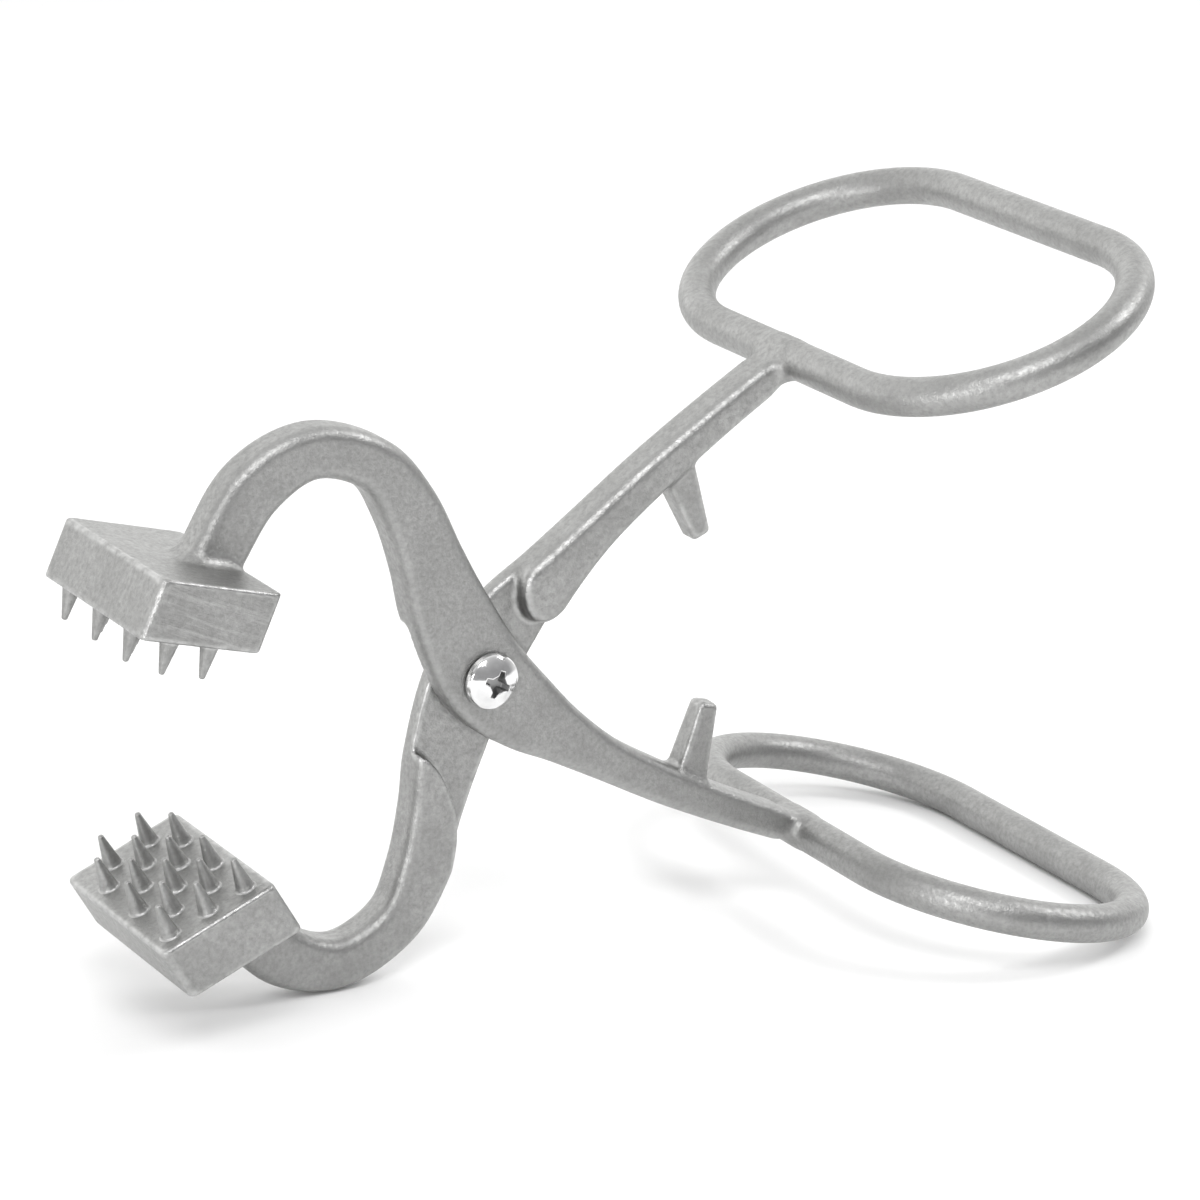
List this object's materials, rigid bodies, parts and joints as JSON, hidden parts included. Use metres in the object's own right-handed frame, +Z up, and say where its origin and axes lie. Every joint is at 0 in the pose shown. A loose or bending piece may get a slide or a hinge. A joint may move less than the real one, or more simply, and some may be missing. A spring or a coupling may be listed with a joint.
{
  "type": "nutcracker",
  "caption": "Scissor-action nutcracker: two crossed cast levers on a screw pivot, with spiked jaw blocks on arched necks and closed hand loops.",
  "frame": {"origin": "centre of the bounding box's footprint, on the surface that the open tool stands on", "axes": "+X from the jaws to the grips, +Y from the screw's head to its nut, along the pivot, +Z up"},
  "size_m": [0.2628, 0.139, 0.1694],
  "materials": {
    "cast_metal": "satin, bead-blasted casting with lightly worn edges",
    "screw_chrome": "bright plated",
    "nut_zinc": "zinc plated steel",
    "insert_nylon": "natural nylon"
  },
  "bodies": {
    "front_half": {"front_lever": "cast_metal", "pivot_screw": "screw_chrome", "pivot_nut": "nut_zinc", "nut_insert": "insert_nylon"},
    "rear_half": {"rear_lever": "cast_metal"}
  },
  "joints": [
    {"name": "pivot", "type": "hinge", "parent": "front_half", "child": "rear_half", "pos_m": [-0.03444, 0, 0.07152], "axis": [0, 1, 0], "range_deg": [-26, 37.4]}
  ]
}
